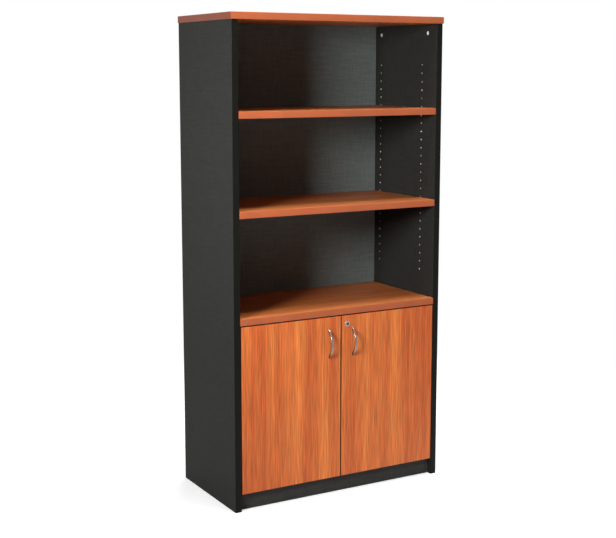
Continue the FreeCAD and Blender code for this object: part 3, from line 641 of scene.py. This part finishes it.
class CUPBOARD_OT_fittings(bpy.types.Operator):
    """Finishes the hinges, the shelf supports, the cams, their bolts and the dowels"""

    bl_idname = "cupboard.fittings"
    bl_label = "Fittings"

    def execute(self, context):
        # nickel plating: bright and a little warm, with soft reflections on the pressed faces
        nickel = metal("nickel_plated_pressed_steel", "#c9c3b8", 0.25)
        finish(nickel, "hinge_plates", "hinge_arms", "left_hinge_links", "right_hinge_links")
        finish(nickel, "left_hinge_cups", "right_hinge_cups", "shelf_supports")
        # zinc plating: cooler and greyer than the nickel next to it
        zinc = metal("zinc_plated_screws", "#b4b3ae", 0.3)
        finish(zinc, "hinge_plate_screws", "left_cup_screws", "right_cup_screws", "cam_bolts")
        # raw zinc casting: pale matt dots in the charcoal boards
        finish(metal("zinc_die_casting", "#ececea", 0.85), "cam_locks")
        finish(fluted_beech(), "locating_dowels")
        return {"FINISHED"}


def softbox(name, azimuth, elevation, size, power, distance=3.6, height=1.0, spread=180, mirrored=True):
    """A rectangular lamp that faces the cupboard's axis at a height; azimuth 0 is in front, 90 at the right.

    One that isn't mirrored lights the boards but leaves no white glare of itself on their gloss.
    """
    around, up = math.radians(azimuth), math.radians(elevation)
    lamp = bpy.data.lights.new(name, "AREA")
    lamp.shape = "RECTANGLE"
    lamp.size, lamp.size_y = size
    lamp.energy = power
    lamp.spread = math.radians(spread)
    item = bpy.data.objects.new(name, lamp)
    out = np.array([math.sin(around) * math.cos(up), -math.cos(around) * math.cos(up), math.sin(up)])
    item.location = distance * out + (0, 0, height)
    item.rotation_euler = (math.pi / 2 - up, 0, around)
    item.visible_glossy = mirrored
    bpy.context.scene.collection.objects.link(item)


class CUPBOARD_OT_stage(bpy.types.Operator):
    """Makes the white room, the floor, the softboxes and the camera"""

    bl_idname = "cupboard.stage"
    bl_label = "Stage"

    def execute(self, context):
        studio = context.scene.cupboard_studio
        self.make_room(studio)
        self.make_floor(studio)
        # azimuth, elevation, width and height in metres, power
        power = studio.key_power
        softbox("key_softbox", -60, 10, (0.8, 0.65), 0.265 * power, distance=3.0, height=1.25, spread=80)
        softbox("top_softbox", -10, 78, (1.2, 1.2), 1.55 * power)
        softbox("right_softbox", 100, 15, (1.4, 1.6), 0.8 * power, mirrored=False)
        softbox("rear_softbox", 150, 20, (1.6, 1.6), 0.9 * power, mirrored=False)
        self.make_camera(studio)
        context.scene.view_settings.view_transform = "Standard"
        return {"FINISHED"}

    def seen_rays(self, tree):
        """1 on rays that come from the eye, or by way of metal or glass, and 0 on those that light things."""
        rays = add(tree, "ShaderNodeLightPath").outputs
        found = rays["Is Camera Ray"]
        for kind in ("Is Glossy Ray", "Is Transmission Ray"):
            links = {0: found, 1: rays[kind]}
            found = add(tree, "ShaderNodeMath", links=links, operation="MAXIMUM").outputs[0]
        return found

    def make_room(self, studio):
        """White to the eye, in metal and in glass; plain soft light on everything else."""
        world = bpy.data.worlds.new("white_room")
        world.use_nodes = True
        tree = world.node_tree
        ends = {"To Min": studio.ambient, "To Max": 1.0}
        strength = add(tree, "ShaderNodeMapRange", ends, {"Value": self.seen_rays(tree)})
        back = tree.nodes["Background"]
        back.inputs["Color"].default_value = (1, 1, 1, 1)
        tree.links.new(strength.outputs["Result"], back.inputs["Strength"])
        bpy.context.scene.world = world

    def make_floor(self, studio):
        """A pale floor that keeps the cupboard's shadow and is lifted to white for the eye."""
        corner = np.array([(-1, -1, 0), (1, -1, 0), (1, 1, 0), (-1, 1, 0)]) * FLOOR_REACH
        mesh = bpy.data.meshes.new("floor")
        mesh.from_pydata(corner.tolist(), [], [(0, 1, 2, 3)])
        floor = bpy.data.objects.new("floor", mesh)
        bpy.context.scene.collection.objects.link(floor)
        # matt paint: no reflection at all, only a faint grey shadow
        material, tree, shader, place = blank("matt_white_floor", Roughness=1.0, Specular_IOR_Level=0.0)
        shader.inputs["Base Color"].default_value = linear("#d2d2d2")
        shader.inputs["Emission Color"].default_value = (1, 1, 1, 1)
        seen = self.seen_rays(tree)
        lift = add(tree, "ShaderNodeMath", {1: studio.floor_lift}, {0: seen}, operation="MULTIPLY")
        tree.links.new(lift.outputs[0], shader.inputs["Emission Strength"])
        # away from the cupboard the lit floor gives way to plain white, so that it has no horizon
        far = add(tree, "ShaderNodeVectorMath", links={0: place}, operation="LENGTH").outputs["Value"]
        ends = {"From Min": FLOOR_FADE[0], "From Max": FLOOR_FADE[1]}
        away = add(tree, "ShaderNodeMapRange", ends, {"Value": far}, interpolation_type="SMOOTHSTEP")
        part = add(tree, "ShaderNodeMath", links={0: away.outputs[0], 1: seen}, operation="MULTIPLY")
        white = add(tree, "ShaderNodeEmission", {"Strength": 1.0})
        links = {"Fac": part.outputs[0], 1: shader.outputs["BSDF"], 2: white.outputs["Emission"]}
        both = add(tree, "ShaderNodeMixShader", links=links)
        tree.links.new(both.outputs["Shader"], tree.nodes["Material Output"].inputs["Surface"])
        mesh.materials.append(material)

    def make_camera(self, studio):
        """Looks at the front and the left side from just under the height of the top."""
        camera = bpy.data.objects.new("camera", bpy.data.cameras.new("camera"))
        camera.data.lens = studio.lens
        camera.data.sensor_width = SENSOR_WIDTH
        camera.data.shift_y = CAMERA_SHIFT
        camera.location = CAMERA_PLACE
        camera.rotation_euler = (math.pi / 2 - CAMERA_PITCH, 0.0, -CAMERA_YAW)
        bpy.context.scene.collection.objects.link(camera)
        bpy.context.scene.camera = camera


class CUPBOARD_PT_panel(bpy.types.Panel):
    """Lists the cupboard's steps and settings in the sidebar"""

    bl_label = "Cupboard"
    bl_idname = "CUPBOARD_PT_panel"
    bl_space_type = "VIEW_3D"
    bl_region_type = "UI"
    bl_category = "Cupboard"

    def draw(self, context):
        for group in (context.scene.cupboard_looks, context.scene.cupboard_studio):
            box = self.layout.box()
            for name in group.__annotations__:
                box.prop(group, name)
        for step in STEPS:
            self.layout.operator(step.bl_idname)


STEPS = (
    CUPBOARD_OT_boards,
    CUPBOARD_OT_edgings,
    CUPBOARD_OT_handles,
    CUPBOARD_OT_lock,
    CUPBOARD_OT_fittings,
    CUPBOARD_OT_stage,
)
CLASSES = (CupboardLooks, CupboardStudio, *STEPS, CUPBOARD_PT_panel)


def register():
    for item in CLASSES:
        bpy.utils.register_class(item)
    bpy.types.Scene.cupboard_looks = bpy.props.PointerProperty(type=CupboardLooks)
    bpy.types.Scene.cupboard_studio = bpy.props.PointerProperty(type=CupboardStudio)


def unregister():
    del bpy.types.Scene.cupboard_studio
    del bpy.types.Scene.cupboard_looks
    for item in reversed(CLASSES):
        bpy.utils.unregister_class(item)


def main():
    register()
    for step in STEPS:
        group, name = step.bl_idname.split(".")
        getattr(getattr(bpy.ops, group), name)()


if __name__ == "__main__":
    main()
